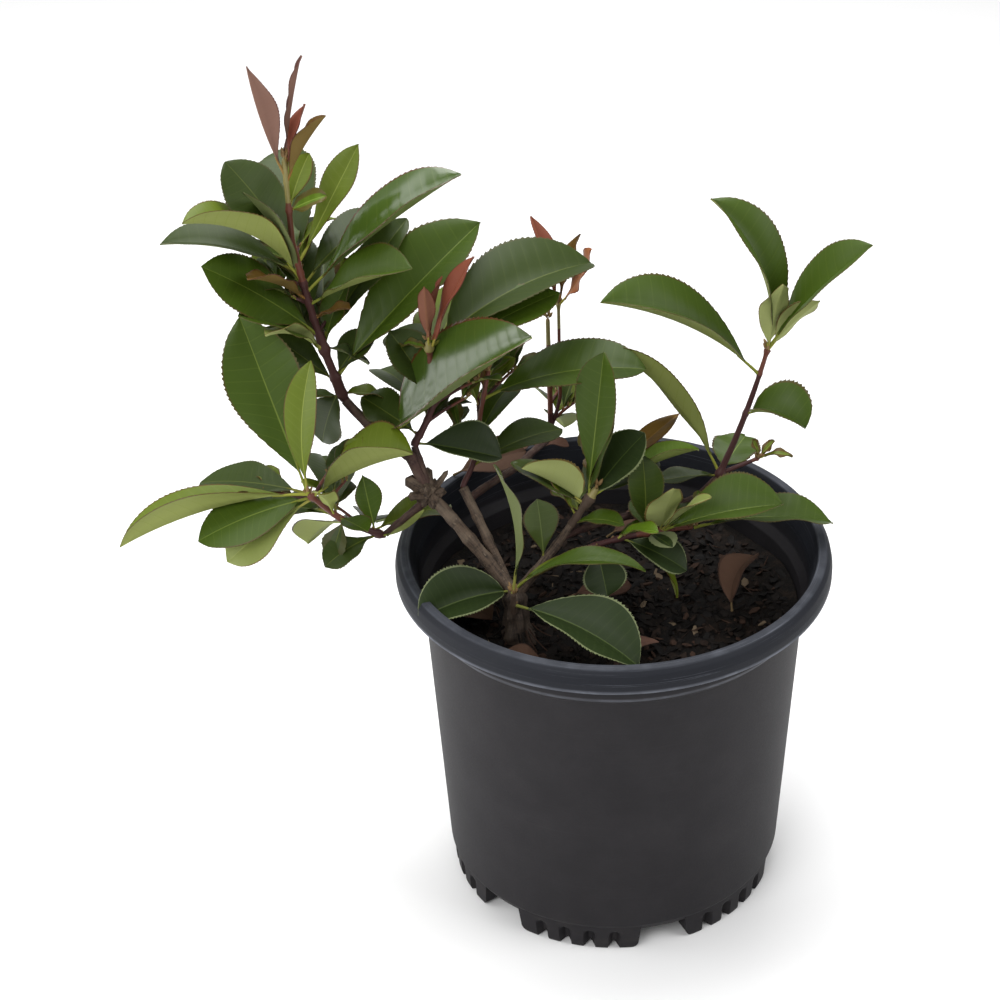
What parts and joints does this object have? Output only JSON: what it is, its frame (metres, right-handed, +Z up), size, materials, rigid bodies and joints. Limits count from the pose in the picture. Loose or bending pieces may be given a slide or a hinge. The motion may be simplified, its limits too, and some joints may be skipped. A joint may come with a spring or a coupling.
{
  "type": "potted shrub",
  "caption": "Young potted evergreen shrub with leaning woody stems, broad glossy leaves and red young tips, in a round dark nursery pot that stands on scalloped feet.",
  "frame": {"origin": "middle of the whole plant's footprint at ground level, on the plane of the pot's feet", "axes": "+Z up from the ground through the crown; the pictured side faces -Y, and the tallest shoot leans towards -X"},
  "size_m": [0.3798, 0.2514, 0.4732],
  "materials": {
    "pot_plastic": "matte, scuffed at the rim",
    "bark_mix": "damp bark chips",
    "bark": "rough grey-brown bark",
    "twig_bark": "smooth dark red twig bark",
    "foliage": "glossy leaves with red young tips"
  },
  "bodies": {
    "root": {"pot": "pot_plastic", "soil": "bark_mix", "trunk": "bark", "left_stem_front": "bark", "left_stem_back": "bark", "right_stem": "bark", "knot": "bark", "tall_bough": "twig_bark", "side_bough": "twig_bark", "middle_bough": "twig_bark", "rear_bough": "twig_bark", "low_bough": "twig_bark", "right_bough": "twig_bark", "foliage_tall": "foliage", "foliage_left": "foliage", "foliage_middle": "foliage", "foliage_inner": "foliage", "foliage_rear": "foliage", "foliage_centre": "foliage", "foliage_low": "foliage", "foliage_right": "foliage", "foliage_foot": "foliage"}
  },
  "joints": []
}
